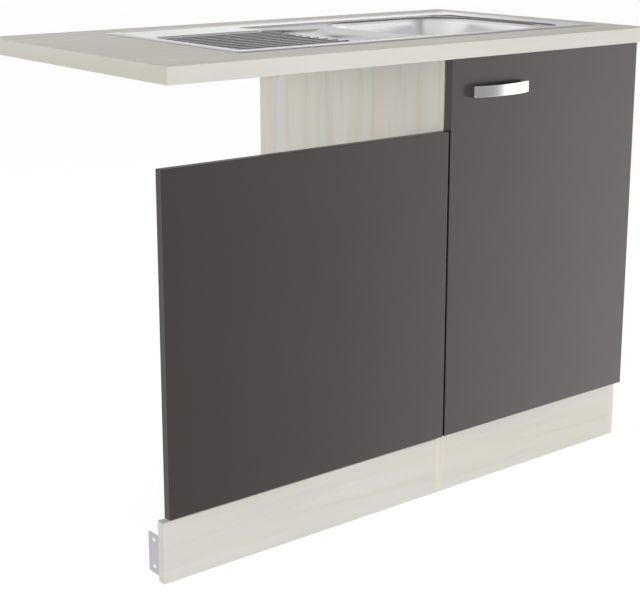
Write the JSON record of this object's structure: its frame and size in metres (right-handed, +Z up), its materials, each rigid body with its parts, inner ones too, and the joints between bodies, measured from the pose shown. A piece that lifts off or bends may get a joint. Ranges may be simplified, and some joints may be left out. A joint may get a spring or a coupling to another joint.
{
  "type": "kitchen sink unit",
  "caption": "Kitchen sink unit: a base cabinet and a dishwasher space under one worktop, with an inset sink and ribbed drainer, a hinged door, a free dishwasher front, plinths, waste and trap.",
  "frame": {"origin": "on the floor, under the middle of the worktop", "axes": "+X along the unit to its right end, +Y from the fronts to the wall, +Z up"},
  "size_m": [1.1, 0.6, 0.8505],
  "materials": {
    "worktop_decor": "matt laminate with a pale wood decor",
    "edging_decor": "matt plastic edging with a pale wood decor",
    "sink_steel": "brushed, with soft highlights",
    "seal_rubber": "matt",
    "zinc_steel": "zinc plated",
    "polished_steel": "polished",
    "white_plastic": "moulded, semi-matt",
    "carcass_board": "melamine board with an upright pale wood grain",
    "cam_zinc": "die-cast zinc",
    "beech_dowel": "bare beech",
    "screw_steel": "zinc plated",
    "anthracite_front": "matt lacquered board",
    "handle_nickel": "brushed nickel",
    "bumper_rubber": "clear soft plastic",
    "hinge_nickel": "nickel plated",
    "plinth_board": "melamine board with a level pale wood grain",
    "bracket_steel": "lilac-grey passivated steel"
  },
  "bodies": {
    "cabinet": {"bottom_panel": "carcass_board", "cam_bolts": "cam_zinc", "cam_housings": "cam_zinc", "front_rail": "carcass_board", "hinge_arm_bottom": "hinge_nickel", "hinge_arm_screws": "screw_steel", "hinge_arm_top": "hinge_nickel", "hinge_plate_bottom": "hinge_nickel", "hinge_plate_screws": "screw_steel", "hinge_plate_top": "hinge_nickel", "overflow_elbow": "white_plastic", "overflow_grille": "polished_steel", "overflow_pipe": "white_plastic", "plinth_bracket_left_end": "bracket_steel", "plinth_bracket_left_inner": "bracket_steel", "plinth_bracket_right_end": "bracket_steel", "plinth_bracket_right_inner": "bracket_steel", "plinth_left": "plinth_board", "plinth_right": "plinth_board", "plinth_screws": "screw_steel", "rear_rail_bottom": "carcass_board", "rear_rail_top": "carcass_board", "side_panel_left": "carcass_board", "side_panel_right": "carcass_board", "sink": "sink_steel", "sink_clip_screws": "zinc_steel", "sink_clips": "zinc_steel", "sink_seal": "seal_rubber", "trap_cup": "white_plastic", "trap_head": "white_plastic", "trap_nut": "white_plastic", "trap_outlet_pipe": "white_plastic", "waste_body": "white_plastic", "waste_flange": "polished_steel", "waste_screw": "polished_steel", "waste_washer": "seal_rubber", "wood_dowels": "beech_dowel", "worktop": "worktop_decor", "worktop_angle_screws": "screw_steel", "worktop_angles": "zinc_steel", "worktop_edging_front": "edging_decor", "worktop_edging_left": "edging_decor", "worktop_edging_right": "edging_decor"},
    "door": {"sink_door": "anthracite_front", "bow_handle": "handle_nickel", "handle_screws": "screw_steel", "bumper_pads": "bumper_rubber", "hinge_cup_top": "hinge_nickel", "hinge_cup_bottom": "hinge_nickel", "hinge_pin_top": "hinge_nickel", "hinge_pin_bottom": "hinge_nickel", "hinge_cup_screws": "screw_steel"},
    "dishwasher_panel": {"dishwasher_front": "anthracite_front"},
    "strainer": {"strainer_basket": "polished_steel", "strainer_sieve": "polished_steel", "strainer_knob": "polished_steel"}
  },
  "joints": [
    {"name": "door_hinge", "type": "hinge", "parent": "cabinet", "child": "door", "pos_m": [0.5414, -0.2648, 0.4675], "axis": [0, 0, 1], "range_deg": [0, 95]},
    {"name": "dishwasher_front_tilt", "type": "hinge", "parent": "cabinet", "child": "dishwasher_panel", "pos_m": [-0.25, -0.2565, 0.1175], "axis": [1, 0, 0], "range_deg": [0, 90]},
    {"name": "strainer_lift", "type": "slide", "parent": "cabinet", "child": "strainer", "axis": [0, 0, 1], "range_m": [0, 0.15]}
  ]
}
